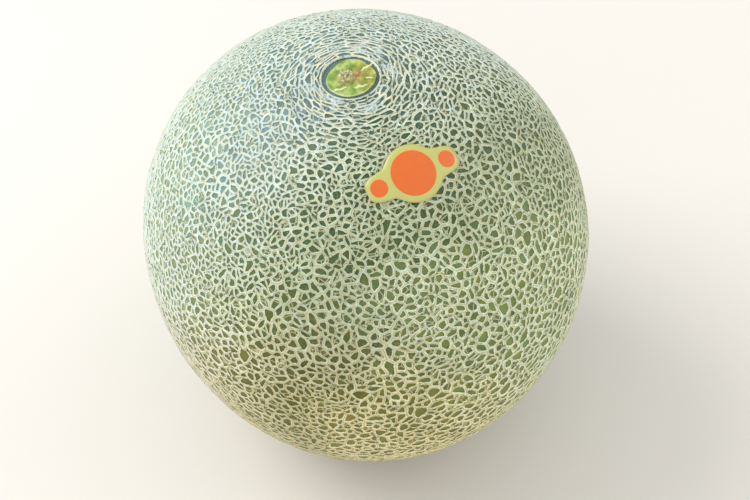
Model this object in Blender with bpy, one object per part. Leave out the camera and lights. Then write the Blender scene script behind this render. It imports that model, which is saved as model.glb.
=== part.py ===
"""A netted melon standing on its blossom end, with its stem scar on top and a plain sticker beside it.

Metres, +Z up. The origin is the centre of the small flat spot that the fruit rests on. The raised net is
made of cells larger than life, so that the solid stays light: its height and its laws are the real ones."""

import math
import random

import bmesh
import bpy
from mathutils import Vector

# Body, measured on the green skin between the lines of the net
SKIN_RADIUS = 0.0740
UPPER_HEIGHT = 0.0760
LOWER_HEIGHT = 0.0800
OVAL = 0.018
OVAL_TURN = math.radians(-49)
THREE_LOBES = 0.006
LOBES_TURN = math.radians(20)
BASIN_DEPTH = 0.0004
BASIN_SPREAD = math.radians(17)
FOOT_RADIUS = 0.0150
CENTRE = Vector((0, 0, LOWER_HEIGHT * math.sqrt(1 - (FOOT_RADIUS / SKIN_RADIUS) ** 2)))

# Raised net: flat-topped ridges round cells of this pitch
NET_HEIGHT = 0.0010
RIDGE_TOP = 0.0022
RIDGE_SLOPE = 0.0008
CELL_PITCH = 0.0129
JITTER = 0.28
SEED = 11

# Rings of net cells round the stem, each longer round the stem than across, and one round the foot
CROWN_RADIUS = 0.0140
STEM_RINGS = ((0.0172, 8), (0.0232, 11), (0.0305, 15))
FOOT_RING = (0.0225, 11)
RING_CLEARANCE = 0.80

# Stem end: steps from the edge of the crown to its centre, as (radius, height above the skin)
CROWN_STEPS = (
    (0.0122, 0.0000),
    (0.0116, 0.0000),
    (0.0110, 0.0008),
    (0.0103, 0.0008),
    (0.0098, 0.0000),
    (0.0093, 0.0009),
    (0.0084, 0.0009),
    (0.0079, -0.0004),
    (0.0073, 0.0002),
    (0.0030, -0.0002),
    (0.0025, 0.0007),
    (0.0014, 0.0011),
)
NET_STEPS = (0, 2, 3, 4, 5, 6, 7)
SCAR_STEP, KNOB_STEP = 8, 10

# Sticker: a disc crossed by a band with rounded ends
STICKER_LENGTH = 0.0307
STICKER_BAND = 0.0092
STICKER_DISC = 0.0178
STICKER_THICKNESS = 0.0005
STICKER_GAP = 0.0003
STICKER_POLAR = math.radians(28.3)
STICKER_AZIMUTH = math.radians(-64.5)
STICKER_TILT = math.radians(24)
STICKER_SIDES = 60
STICKER_RINGS = 3
BAND_SQUARENESS = 5
CREASE_SHARPNESS = 12

# Material slots of the melon
SKIN, NET, SCAR, KNOB = range(4)


def material(name, colour, roughness):
    """A plain Principled material."""
    made = bpy.data.materials.new(name)
    made.use_nodes = True
    shader = made.node_tree.nodes["Principled BSDF"]
    shader.inputs["Base Color"].default_value = (*colour, 1)
    shader.inputs["Roughness"].default_value = roughness
    made.diffuse_color = (*colour, 1)
    return made


def add_object(name, bm, materials):
    """Turns a bmesh into a named object, shaded smooth."""
    mesh = bpy.data.meshes.new(name)
    bm.to_mesh(mesh)
    bm.free()
    mesh.shade_smooth()
    for made in materials:
        mesh.materials.append(made)
    obj = bpy.data.objects.new(name, mesh)
    bpy.context.scene.collection.objects.link(obj)
    return obj


def direction(polar, azimuth):
    """The unit vector at this angle from +Z and this turn from +X."""
    side = math.sin(polar)
    return Vector((side * math.cos(azimuth), side * math.sin(azimuth), math.cos(polar)))


def skin_radius(way):
    """Distance from the body's centre to the green skin: two half ellipsoids, a little oval and three-lobed,
    with a shallow basin round the stem."""
    side = math.hypot(way.x, way.y)
    height = UPPER_HEIGHT if way.z > 0 else LOWER_HEIGHT
    radius = 1 / math.hypot(side / SKIN_RADIUS, way.z / height)
    turn = math.atan2(way.y, way.x)
    oval = OVAL * math.cos(2 * (turn - OVAL_TURN))
    lobes = THREE_LOBES * math.cos(3 * (turn - LOBES_TURN))
    polar = math.acos(max(-1, min(1, way.z)))
    return radius * (1 + side**2 * (oval + lobes)) - BASIN_DEPTH * math.exp(-((polar / BASIN_SPREAD) ** 2))


def on_body(way, lift):
    """The point in this direction that is lift above the skin, and never below the surface the fruit rests on."""
    point = CENTRE + way * (skin_radius(way) + lift)
    point.z = max(point.z, 0)
    return point


def ring_of_cells(radius, count, pole, turn):
    """Cell centres evenly round a pole, this far from its axis."""
    polar = math.asin(radius / SKIN_RADIUS)
    return [direction(polar if pole > 0 else math.pi - polar, turn + math.tau * i / count) for i in range(count)]


def cell_centres():
    """Unit vectors of the net's cells: one at each pole, rings round the stem and the foot, and a jittered
    golden spiral over the rest."""
    ways = [Vector((0, 0, 1)), Vector((0, 0, -1))]
    for k, (radius, count) in enumerate(STEM_RINGS):
        ways += ring_of_cells(radius, count, 1, k * math.pi / count)
    ways += ring_of_cells(*FOOT_RING, -1, 0)
    rings = ways[:]

    draw = random.Random(SEED)
    pitch = CELL_PITCH / SKIN_RADIUS
    golden_turn = math.pi * (3 - math.sqrt(5))
    count = round(4 * math.pi / (pitch**2 * math.sqrt(3) / 2))
    outermost = math.asin(STEM_RINGS[-1][0] / SKIN_RADIUS)
    lowest = math.pi - math.asin(FOOT_RING[0] / SKIN_RADIUS)
    for i in range(count):
        polar = math.acos(1 - 2 * (i + 0.5) / count)
        shift = Vector([draw.uniform(-JITTER, JITTER) * pitch for _ in range(3)])
        way = (direction(polar, i * golden_turn) + shift).normalized()
        clear = min((way - other).length for other in rings) > RING_CLEARANCE * pitch
        if clear and outermost < polar < lowest:
            ways.append(way)
    return ways


def polygons_round(ways):
    """The net's corners as unit vectors, and for each cell the corners round it. A corner is the middle of a
    triangle of neighbouring cell centres."""
    bm = bmesh.new()
    for way in ways:
        bm.verts.new(way)
    bmesh.ops.convex_hull(bm, input=bm.verts)
    bmesh.ops.recalc_face_normals(bm, faces=bm.faces)
    bm.faces.index_update()
    corners = [face.calc_center_median().normalized() for face in bm.faces]
    cells = []
    for vert in bm.verts:
        first = loop = vert.link_loops[0]
        cell = []
        while True:
            cell.append(loop.face.index)
            loop = loop.link_loop_prev.link_loop_radial_next
            if loop == first:
                break
        cells.append((vert.co.copy(), cell))
    bm.free()
    return corners, cells


def round_off(bm, face, pole, radius):
    """Splits a pole cell's sides in two and sets its corners on a circle of this radius."""
    bmesh.ops.subdivide_edges(bm, edges=face.edges, cuts=1)
    polar = math.atan2(radius, UPPER_HEIGHT if pole > 0 else CENTRE.z)
    count = len(face.verts)
    start = min(math.atan2(vert.co.y, vert.co.x) for vert in face.verts)
    for vert in face.verts:
        turn = math.atan2(vert.co.y, vert.co.x)
        step = round((turn - start) / (math.tau / count))
        vert.co = direction(polar if pole > 0 else math.pi - polar, start + math.tau * step / count)


def make_crown(bm, face):
    """Steps the stem's cell inwards ring by ring: corky rings with grooves between, the scar and its knob."""
    radius, height = CROWN_RADIUS - RIDGE_TOP / 2, NET_HEIGHT
    for step, (next_radius, next_height) in enumerate(CROWN_STEPS):
        sides = bmesh.ops.inset_individual(
            bm, faces=[face], thickness=radius - next_radius, depth=next_height - height, use_even_offset=True
        )["faces"]
        slot = KNOB if step >= KNOB_STEP else SCAR if step >= SCAR_STEP else NET if step in NET_STEPS else SKIN
        for side in sides:
            side.material_index = slot
        radius, height = next_radius, next_height
    face.material_index = KNOB


def make_melon(materials):
    """One solid: the skin with its raised net, the crown at the stem end, and the flat foot."""
    corners, cells = polygons_round(cell_centres())
    bm = bmesh.new()
    verts = [bm.verts.new(corner) for corner in corners]
    faces = {}
    for way, cell in cells:
        faces[bm.faces.new([verts[i] for i in cell])] = way.z
    crown = max(faces, key=faces.get)
    foot = min(faces, key=faces.get)
    round_off(bm, crown, 1, CROWN_RADIUS)
    round_off(bm, foot, -1, FOOT_RADIUS + RIDGE_TOP / 2)
    for vert in bm.verts:
        vert.co = on_body(vert.co.normalized(), NET_HEIGHT)
    for vert in foot.verts:
        vert.co.z = 0

    ridges = bmesh.ops.bevel(
        bm, geom=bm.edges[:], offset=RIDGE_TOP / 2, offset_type="OFFSET", segments=1, affect="EDGES"
    )["faces"]
    for face in ridges:
        face.material_index = NET
    hollows = [face for face in bm.faces if face.material_index == SKIN]
    crown = max(hollows, key=lambda face: face.calc_center_median().z)
    foot = min(hollows, key=lambda face: face.calc_center_median().z)
    hollows = [face for face in hollows if face not in (crown, foot)]
    slopes = bmesh.ops.inset_individual(
        bm, faces=hollows, thickness=RIDGE_SLOPE, depth=-NET_HEIGHT, use_even_offset=True
    )["faces"]
    for face in slopes:
        face.material_index = NET
    make_crown(bm, crown)
    return add_object("melon", bm, materials)


def sticker_edge(turn):
    """Distance from the sticker's middle to its edge, at this turn from its long way."""
    along = abs(math.cos(turn)) / (STICKER_LENGTH / 2)
    across = abs(math.sin(turn)) / (STICKER_BAND / 2)
    band = (along**BAND_SQUARENESS + across**BAND_SQUARENESS) ** (-1 / BAND_SQUARENESS)
    disc = STICKER_DISC / 2
    return (band**CREASE_SHARPNESS + disc**CREASE_SHARPNESS) ** (1 / CREASE_SHARPNESS)


def make_sticker(paper):
    """A thin sheet bent over the net, beside the stem."""
    middle = direction(STICKER_POLAR, STICKER_AZIMUTH)
    along = Vector((math.cos(STICKER_TILT), math.sin(STICKER_TILT), 0))
    along = (along - middle * along.dot(middle)).normalized()
    across = middle.cross(along)
    reach = skin_radius(middle) + NET_HEIGHT + STICKER_GAP
    bm = bmesh.new()
    bmesh.ops.create_circle(bm, cap_ends=True, segments=STICKER_SIDES, radius=1)
    sheet = bm.faces[:]
    for ring in range(STICKER_RINGS):
        thickness = 1 / (STICKER_RINGS + 1)
        bmesh.ops.inset_individual(bm, faces=sheet, thickness=thickness, use_even_offset=True)
    bmesh.ops.poke(bm, faces=sheet)
    for vert in bm.verts:
        turn = math.atan2(vert.co.y * STICKER_DISC, vert.co.x * STICKER_LENGTH)
        flat = (along * math.cos(turn) + across * math.sin(turn)) * (vert.co.length * sticker_edge(turn))
        vert.co = on_body((middle * reach + flat).normalized(), NET_HEIGHT + STICKER_GAP)
    bm.normal_update()
    if sum((face.normal for face in bm.faces), Vector()).dot(middle) < 0:
        bmesh.ops.reverse_faces(bm, faces=bm.faces)
    sticker = add_object("sticker", bm, [paper])
    solidify = sticker.modifiers.new("thickness", "SOLIDIFY")
    solidify.thickness = STICKER_THICKNESS
    solidify.offset = 1
    return sticker


def main():
    for obj in list(bpy.data.objects):
        bpy.data.objects.remove(obj)
    skin = material("green_skin", (0.16, 0.24, 0.13), 0.45)
    net = material("corky_net", (0.60, 0.60, 0.42), 0.75)
    scar = material("stem_scar", (0.36, 0.50, 0.16), 0.55)
    knob = material("stem_knob", (0.38, 0.28, 0.13), 0.85)
    make_melon([skin, net, scar, knob])
    make_sticker(material("sticker_paper", (0.90, 0.23, 0.04), 0.40))


main()
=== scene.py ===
"""The looks of a netted melon: its fine raised net, its skin, stem scar and sticker, on a plain pale floor.

Metres, +Z up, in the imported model's frame: the origin is the centre of the flat spot that the fruit rests on.
The net grows as a real one does. Wide cords part the skin into large cells, and finer and finer lines split
those cells until each is about as small as the real ones."""

import math
import random

import bmesh
import bpy
import numpy as np
from mathutils import Matrix, Vector, noise


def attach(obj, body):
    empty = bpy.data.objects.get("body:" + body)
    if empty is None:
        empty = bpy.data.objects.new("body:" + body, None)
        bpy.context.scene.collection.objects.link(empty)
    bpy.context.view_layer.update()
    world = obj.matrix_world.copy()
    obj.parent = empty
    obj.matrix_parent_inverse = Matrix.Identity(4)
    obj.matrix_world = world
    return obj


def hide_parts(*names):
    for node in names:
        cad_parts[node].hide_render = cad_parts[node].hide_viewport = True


MM = 0.001
UP, DOWN = Vector((0, 0, 1)), Vector((0, 0, -1))

# Body, measured on the skin between the lines of the net
SKIN_RADIUS = 0.0740
UPPER_HEIGHT = 0.0760
LOWER_HEIGHT = 0.0800
OVAL = 0.018
OVAL_TURN = math.radians(-49)
THREE_LOBES = 0.006
LOBES_TURN = math.radians(20)
BASIN_DEPTH = 0.0004
BASIN_SPREAD = math.radians(17)
FOOT_RADIUS = 0.0150
CENTRE = Vector((0, 0, LOWER_HEIGHT * math.sqrt(1 - (FOOT_RADIUS / SKIN_RADIUS) ** 2)))
UNEVEN_HEIGHT = 0.25 * MM
UNEVEN_LENGTH = 22 * MM

# Net: its height, and the wide cords' cells, which are dropped at random this far apart
NET_HEIGHT = 1.0 * MM
CORD_PITCH = 5.2 * MM
COARSE_PITCH = 0.25
LEAST_PITCH = 0.86
PITCH_SPREAD = 0.28
CORD_TRIES = 60000
MOST_CORDS = 6000
SEED = 7

# Where the net is coarse: low down and at both sides, with a wander
COARSE_WAY = Vector((0.2, -0.15, -0.95)).normalized()
COARSE_SIDES = 0.22
COARSE_WANDER = 0.25
COARSE_WAVES = 3.1
COARSE_SHIFT = Vector((5, 1, 2))

# Cells that the finer lines leave, as areas of skin, and how the cut through a cell runs
CELL_AREA = 3.7 * MM**2
COARSE_AREA = 14.8 * MM**2
MOST_AREA = 1.4
SPREAD_OF_AREAS = 0.24
MOST_SPREAD = 0.40
LEAST_SIDE = 0.42 * MM
CUT_TURN = 0.30
OFF_MIDDLE = 0.16
SLIVER_SHARE = 0.24
SLIVER_LEAST = 0.62
SLIVER_PLACE = 0.21
SLACK = 0.28
WOBBLE = 0.16 * MM

# Ridges: half the width and the height share of a line, from the wide cords to the finest, and their wander
HALF_WIDTHS = (0.82 * MM, 0.68 * MM, 0.56 * MM, 0.46 * MM)
RIM_HALF_WIDTH = 0.30 * MM
MOST_WIDTH = 0.39
FINE_WIDTH = 0.96
COARSE_WIDER = 0.32
STEM_SLIMMER = 0.30
WIDTH_WANDER = 0.22
SHORT_WAVES = 26
LONG_WAVES = 7
LONG_SHIFT = Vector((3, 0, 8))
CREST_SHARES = (1.0, 0.90, 0.80)
CREST_MEAN = 0.93
CREST_WANDER = 0.07
CREST_WAVES = 30

# Holes between the ridges: small ones are shallower, and the smallest close up
HOLE_DEPTH = 0.34 * MM
LEAST_HOLE = 0.08 * MM**2
DEEP_HOLE = 1.1 * MM**2
LEAST_HOLE_SIDE = 0.32 * MM
SMALL_DEPTH = 0.55
DEPTH_GAIN = 0.45
CLOSED_DEPTH = 0.35
CLOSED_RISE = 0.3
STRAIGHT = 0.24

# Round the stem the cells are larger, and the lines lie closer across than along
STEM_PULL = 2.4
STEM_REACH = 17 * MM
STEM_COARSE = 0.9

# How the sphere is drawn in there: how sharply the pull ends, and where it is worked out
PULL_SHARPNESS = 4
NEAREST = 0.5 * MM
FURTHEST = 40
DISTANCES = 4000
NOT_DRAWN = 10
MOST_POLAR = 3.1
TINY = 1e-6
AT_POLE = 1e-9

# Stem end: a rim, a groove and the scar, as steps of radius and height above the skin
RIM_RADIUS = 8.9 * MM
RIM_CELLS = 13
RIM_CELLS_PLACE = 1.22
RIM_CELLS_TURN = 0.2
RIM_SIDES = 160
SCAR_RADIUS = 7.5 * MM
SCAR_LIP = 7.24 * MM
CROWN_STEPS = (
    (8.74 * MM, 0.92 * MM),
    (8.58 * MM, 0.50 * MM),
    (8.46 * MM, 0.02 * MM),
    (8.05 * MM, -0.12 * MM),
    (7.66 * MM, -0.05 * MM),
    (SCAR_RADIUS, 0.15 * MM),
    (7.38 * MM, 0.42 * MM),
    (SCAR_LIP, 0.52 * MM),
    (7.06 * MM, 0.47 * MM),
    (6.80 * MM, 0.38 * MM),
)
SCAR_RINGS = 27
SCAR_HEIGHT = 0.36 * MM

# Scar's outline: a slight ripple, and flats, each as a turn from +X in degrees, a width and a depth
ROUND_FROM = RIM_RADIUS - 0.5 * MM
SCAR_EDGE = 0.15 * MM
SCAR_FULLNESS = 1.025
SCAR_RIPPLE = 0.008
SCAR_RIPPLES = 7
SCAR_FLATS = (
    (140, 0.70, 0.15),
    (-45, 0.50, 0.045),
    (40, 0.28, 0.08),
)

# Relief, as waves: a share of the height, and how often it comes back in a millimetre
SCAR_WAVES = ((0.08, 0.8), (0.06, 2.6))
KNOB_WAVES = ((0.28, 1.3), (0.34, 2.7))
KNOB_EDGE_WAVES = ((0.14, 0.9),)

# Knob of cork on the scar, with a slight moat round it
KNOB_PLACE = Vector((-1.2 * MM, 0.3 * MM))
KNOB_RADIUS = 2.5 * MM
KNOB_HEIGHT = 1.1 * MM
KNOB_MEAN = 0.82
KNOB_FOOT = 1.08
KNOB_TOP = 0.80
MOAT_PLACE = 1.1
MOAT_WIDTH = 0.45 * MM
MOAT_DEPTH = 0.12 * MM

# Stain beside the knob, and the moat's own stain, with painted shadow under the knob that shows most in front
STAIN_PLACE = Vector((1.6 * MM, 0.5 * MM))
STAIN_SPREAD = Vector((2.4 * MM, 2.4 * MM))
STAIN_MEAN = 0.95
STAIN_WANDER = 0.9
STAIN_WAVES = 1.1
STAIN_SHIFT = Vector((0, 3, 6))
MOAT_STAIN = 0.15
MOAT_SHADOW_GAIN = 0.65
MOAT_SHADOW_SIDE = (0.5, -1)

# Faint pale rim along the scar's lip, with a painted highlight that shows most in front
LIP_WIDTH = 0.16 * MM
LIP_HIGHLIGHT_TURN = 0.4
LIP_PALE = 0.15
LIP_HIGHLIGHT_GAIN = 0.55

# Cracks in the scar, from one end to the other: each end as a radius and a turn from +X in degrees
CRACKS = (
    ((3.9 * MM, 34), (9.6 * MM, 37)),
    ((4.9 * MM, -10), (6.3 * MM, -8)),
    ((4.1 * MM, 248), (6.7 * MM, 224)),
    ((4.4 * MM, -78), (5.7 * MM, -38)),
)
CRACK_WIDTH = 0.29 * MM
CRACK_ENDS = 0.8
CRACK_BEND = 0.42 * MM
CRACK_BEND_LENGTH = 1.3 * MM
CRACK_SHIFT = Vector((4, 7, 1))
CRACK_RIDGE = 0.6 * MM

# Blossom end: a small corky button, in the same kind of steps
BUTTON_RADIUS = 3.6 * MM
BUTTON_CELLS = 9
BUTTON_CELLS_PLACE = 1.75
BUTTON_SIDES = 24
BUTTON_STEPS = (
    (3.2 * MM, 1.00 * MM),
    (2.7 * MM, 0.70 * MM),
    (2.0 * MM, 0.60 * MM),
    (1.2 * MM, 0.68 * MM),
    (0.5 * MM, 0.50 * MM),
)
BUTTON_RISE = 0.8
BUTTON_CORK = 0.6
MIDDLE_CORK = 0.8

# Sticker: a thin sheet cut to a disc crossed by a band
STICKER_LENGTH = 30.7 * MM
STICKER_BAND = 9.2 * MM
STICKER_DISC = 17.8 * MM
STICKER_POLAR = math.radians(28.3)
STICKER_AZIMUTH = math.radians(-64.5)
STICKER_TILT = math.radians(24)
STICKER_LIFT = 1.16 * MM
STICKER_THICKNESS = 0.12 * MM
STICKER_SIDES = 160
STICKER_RINGS = 8
STICKER_WAVES = 0.06 * MM
STICKER_WAVE_LENGTH = 4 * MM
BAND_SQUARENESS = 4
CREASE_SHARPNESS = 12

# What is printed on it: a plain spot in the middle, and a plain dot on each side of it
SPOT_RADIUS = 6.9 * MM
DOT_RADIUS = 2.7 * MM
DOT_PLACE = 11.4 * MM
PRINT_EDGE = 0.07 * MM

# Camera: how it looks at the fruit, and where it aims, to the right of the fruit's centre and below
CAMERA_ELEVATION = math.radians(51.5)
CAMERA_ROLL = math.radians(-5.27)
CAMERA_DISTANCE = 0.499
CAMERA_LENS = 70.4
AIM_RIGHT = 3.4 * MM
AIM_DOWN = 5.4 * MM

# Six sides of a cube round the body, each in a tile of the baked picture
TILE_SHARE = 0.94

# Ways that the rind's colours change along: hue to the back left, painted light left, painted shade low, bluer
# on top
HUE_WAY = Vector((-0.72, 1.0, 0))
LEFT_WAY = Vector((-1, 0, 0))
LOW_WAY = Vector((-0.33, -0.8, -0.52))
BLUE_WAY = Vector((-0.20, -0.3, 0.93))

# Sizes of the grain in the rind's colours
COARSE_GRAIN = 26 * MM
PATCH_GRAIN = 7 * MM
SMEAR_GRAIN = 4 * MM
CLUMP_GRAIN = 3.4 * MM
THREAD_CELLS = 2.8 * MM
SCAR_GRAIN = 2.6 * MM
SKIN_TINT_GRAIN = 1.7 * MM
NET_TINT_GRAIN = 1.4 * MM
CRUMB_GRAIN = 1.1 * MM
PIT_CELLS = 0.85 * MM
FLECK_GRAIN = 0.75 * MM
CORK_GRAIN = 0.65 * MM
DUST_GRAIN = 0.42 * MM

# Where a look sets in: the two values that it runs between, then what it gives at each, if not 0 and 1
HUE_RANGE = (-1.0, 0.7)
LOW_STEP = (-0.24, 0.32)
PAINTED_LIGHT_STEP = (-0.05, 0.75)
BLUE_STEP = (1.675, 1.975)
STEM_STEP = (27 * MM, 9 * MM)
SMEAR_REACH = (21 * MM, 11 * MM)
SMEAR_START = (RIM_RADIUS, 9.3 * MM)
SMEAR_PATCHES = (0.54, 0.66)
SMEAR_FLECKS = (0.35, 0.65, 0.45, 1.0)
SKIN_TINT_STEP = (0.36, 0.64)
DARK_PATCHES = (0.35, 0.70, 0.0, 0.35)
PALE_CRUMBS = (0.52, 0.70, 0.0, 0.35)
THREAD_STEP = (0.025, 0.07, 0.80, 0.0)
THREAD_HOLES = (0.60, 0.62)
SPECK_STEP = (0.63, 0.72, 0.0, 0.7)
FOOT_STEP = (0.02, 0.12)
COVER_STEP = (0.17, 0.34)
EDGE_SHADE_STEP = (0.30, 0.55)
SIDE_CLUMPS = (0.35, 0.70, 0.0, 0.35)
NET_TINT_STEP = (0.38, 0.62)
SPLIT_STEP = (0.70, 0.86)
SPLIT_CRUMBS = (0.36, 0.48)
TAN_DUST = (0.54, 0.68, 0.0, 0.50)
PIT_STEP = (0.26, 0.40, 1.0, 0.0)
PIT_CLUMPS = (0.50, 0.58)
PIT_CRUMBS = (0.40, 0.50)
STEM_CLUMPS = (0.56, 0.40, 0.0, 0.75)
OLIVE_STEP = (-0.01, -0.05)
CRACK_CRUMBS = (0.25, 0.50, 0.55, 0.95)
DULL_STEP = (0.0, 1.0, 0.36, 0.80)

# How strongly a look shows, and its share of the bump
HUE_WANDER = 0.40
HUE_BY_CELL = 0.14
RAGGEDNESS = 0.80
EDGE_SHADE_SHARE = 0.2
SPLIT_SHARE = 0.80
PIT_SHARE = 0.85
CRUMB_BUMP = 0.8
SKIN_BUMP = 0.15
SPLIT_BUMP = -1.0
PIT_BUMP = -1.6
THREAD_BUMP = 0.6
RIND_BUMP = 0.11 * MM

# Colours, as linear red, green and blue. Stops are places along a value, each with its colour
SKIN_STOPS = (
    (0.00, (0.138, 0.195, 0.053)),
    (0.08, (0.081, 0.120, 0.029)),
    (0.16, (0.052, 0.080, 0.017)),
    (0.36, (0.050, 0.080, 0.022)),
    (0.52, (0.078, 0.130, 0.070)),
    (0.64, (0.080, 0.145, 0.115)),
    (0.80, (0.108, 0.188, 0.148)),
    (1.00, (0.100, 0.180, 0.155)),
)
SKIN_DARK = (0.036, 0.062, 0.018)
SKIN_PALE = (0.15, 0.21, 0.08)
SKIN_WARM = (1.20, 0.98, 0.74)
SKIN_COOL = (0.80, 1.02, 1.40)
# Painted light: the skin is paler on the left side, where the key light falls
PAINTED_LIGHT_SIDE = (2.10, 1.80, 1.42)
# Painted shade low in front, warmed as if by bounce light
PAINTED_WARM_BOUNCE = (1.09, 0.94, 0.80)
PAINTED_LOW_SHADE = (0.88, 0.77, 0.30)
BLUE_SIDE = (0.91, 1.00, 1.25)
GREEN_SIDE = (1.07, 1.00, 0.84)
STEM_SKIN = (0.97, 1.00, 1.12)
STEM_NET = (0.72, 0.69, 0.49)
SMEAR_COLOUR = (0.55, 0.66, 0.64)
FOOT_SHADE = (0.50, 0.55, 0.50)
NET_STOPS = (
    (0.00, (0.68, 0.755, 0.57)),
    (0.12, (0.52, 0.595, 0.435)),
    (0.24, (0.50, 0.57, 0.425)),
    (0.38, (0.62, 0.71, 0.575)),
    (0.52, (0.665, 0.755, 0.715)),
    (0.70, (0.645, 0.73, 0.705)),
    (1.00, (0.645, 0.735, 0.70)),
)
NET_WARM = (1.00, 0.965, 0.86)
NET_COOL = (0.945, 1.00, 1.08)
# Darker net: in random patches, and as painted shade down the edges of the lines
NET_PATCH_AND_EDGE_SHADE = (0.68, 0.68, 0.53)
TAN_STOPS = (
    (0.15, (0.40, 0.35, 0.18)),
    (0.45, (0.46, 0.44, 0.26)),
    (0.75, (0.54, 0.56, 0.37)),
)
THREAD_COLOUR = (0.47, 0.48, 0.29)
NET_BROWN = (0.15, 0.17, 0.07)
SCAR_STOPS = (
    (0.36, (0.10, 0.22, 0.025)),
    (0.52, (0.23, 0.33, 0.065)),
    (0.66, (0.40, 0.48, 0.16)),
)
OLIVE_SIDE = (1.12, 0.90, 0.70)
STAIN_STOPS = (
    (0.40, (0.24, 0.11, 0.03)),
    (0.62, (0.50, 0.29, 0.11)),
)
CRACK_AND_HIGHLIGHT_COLOUR = (0.74, 0.70, 0.44)
CORK_STOPS = (
    (0.36, (0.15, 0.12, 0.05)),
    (0.48, (0.32, 0.31, 0.13)),
    (0.66, (0.58, 0.60, 0.32)),
)

# Sticker's print and paper, which is faintly cloudy and grained
PRINT_COLOUR = (0.62, 0.115, 0.006)
SHEET_COLOUR = (0.44, 0.435, 0.125)
PAPER_SHADE = (0.82, 0.82, 0.82)
CLOUD_GRAIN = 3 * MM
FIBRE_GRAIN = 0.25 * MM
CLOUD_STEP = (0.3, 0.8, 0.0, 0.30)
FIBRE_STEP = (0.6, 0.8, 0.0, 0.25)
PAPER_DULL_STEP = (0.3, 0.7, 0.34, 0.44)
CLOUD_BUMP = 3.0
PAPER_BUMP = 0.03 * MM

# Stage: the floor, the world, and each light's name, place, size, power and colour
FLOOR_HALF = 4
FLOOR_COLOUR = (0.66, 0.63, 0.58)
FLOOR_ROUGHNESS = 0.7
WORLD_COLOUR = (0.95, 0.97, 1.0)
WORLD_STRENGTH = 0.92
LIGHTS = (
    ("key", (-0.88, 0.40, 1.0), 1.0, 15, (1.0, 1.0, 0.99)),
    ("fill", (1.1, 0.1, 0.5), 1.2, 5.6, (1.0, 0.98, 0.94)),
    ("front", (-0.1, -1.1, 0.15), 1.0, 5.8, (1.0, 0.90, 0.74)),
)


def direction(polar, azimuth):
    """The unit vector at this angle from +Z and this turn from +X."""
    side = math.sin(polar)
    return Vector((side * math.cos(azimuth), side * math.sin(azimuth), math.cos(polar)))


def turn_of(place):
    """How far a place is turned from +X."""
    return math.atan2(place.y, place.x)


def polar_of(way):
    """The angle of a unit vector from +Z."""
    return math.acos(max(-1, min(1, way.z)))


def skin_radius(way):
    """Distance from the body's centre to the skin, as in the solid, with slight low waves."""
    side = math.hypot(way.x, way.y)
    height = UPPER_HEIGHT if way.z > 0 else LOWER_HEIGHT
    radius = 1 / math.hypot(side / SKIN_RADIUS, way.z / height)
    turn = turn_of(way)
    oval = OVAL * math.cos(2 * (turn - OVAL_TURN))
    lobes = THREE_LOBES * math.cos(3 * (turn - LOBES_TURN))
    waves = UNEVEN_HEIGHT * noise.noise(way * (SKIN_RADIUS / UNEVEN_LENGTH))
    basin = BASIN_DEPTH * bell(polar_of(way), BASIN_SPREAD)
    return radius * (1 + side**2 * (oval + lobes)) - basin + waves


def on_body(way, lift):
    """The point in this direction that is lift above the skin. Where the fruit rests, it is pressed flat."""
    point = CENTRE + way * (skin_radius(way) + lift)
    point.z = max(point.z, (NET_HEIGHT - lift) / 2)
    return point


class Warp:
    """Draws the sphere in towards the stem, so that cells which are even there come out as long arcs here.
    Distances from the stem, named r, are on the sphere laid flat round it."""

    def __init__(self):
        far = np.exp(np.linspace(math.log(NEAREST), math.log(FURTHEST), DISTANCES))
        self.log_far = np.log(far)
        self.log_near = np.log([r * self.shrink(r) for r in far])

    @staticmethod
    def laid_flat(polar):
        return 2 * SKIN_RADIUS * math.tan(polar / 2)

    @staticmethod
    def shrink(r):
        """What share of its distance is left to a point that is drawn in."""
        return (1 + (STEM_REACH / r) ** PULL_SHARPNESS) ** (-STEM_PULL / PULL_SHARPNESS)

    @staticmethod
    def scale(way):
        """Mean length in the drawn-in sphere of one metre of skin, for a direction on the true sphere."""
        r = Warp.laid_flat(min(polar_of(way), MOST_POLAR)) + TINY
        reach = STEM_REACH**PULL_SHARPNESS
        pull = 1 + STEM_PULL * reach / (r**PULL_SHARPNESS + reach)
        return math.sqrt(pull) * Warp.shrink(r)

    def moved(self, way, known, wanted):
        if math.hypot(way.x, way.y) < AT_POLE:
            return way.copy()
        r = self.laid_flat(polar_of(way))
        r = math.exp(np.interp(math.log(r), known, wanted)) if r < NOT_DRAWN else r
        return direction(2 * math.atan(r / (2 * SKIN_RADIUS)), turn_of(way))

    def drawn_in(self, way):
        return self.moved(way, self.log_far, self.log_near)

    def let_out(self, way):
        return self.moved(way, self.log_near, self.log_far)


WARP = Warp()


def smooth_step(low, high, value):
    share = max(0, min(1, (value - low) / (high - low)))
    return share * share * (3 - 2 * share)


def bell(away, width):
    return math.exp(-((away / width) ** 2))


def near_stem(way):
    """1 at the stem, falling to 0 further out."""
    return bell(polar_of(way) * SKIN_RADIUS, STEM_REACH)


def coarseness(way):
    """0 where the net is finest, near the top, and 1 where it is coarsest, low down and at the sides."""
    lean = 0.5 + 0.5 * way.dot(COARSE_WAY)
    lean += COARSE_WANDER * noise.noise(way * COARSE_WAVES + COARSE_SHIFT)
    lean += COARSE_SIDES * way.x**2
    return max(0, min(1, lean))


def ring_of_cells(polar, count, turn):
    return [direction(polar, turn + math.tau * i / count) for i in range(count)]


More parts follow.
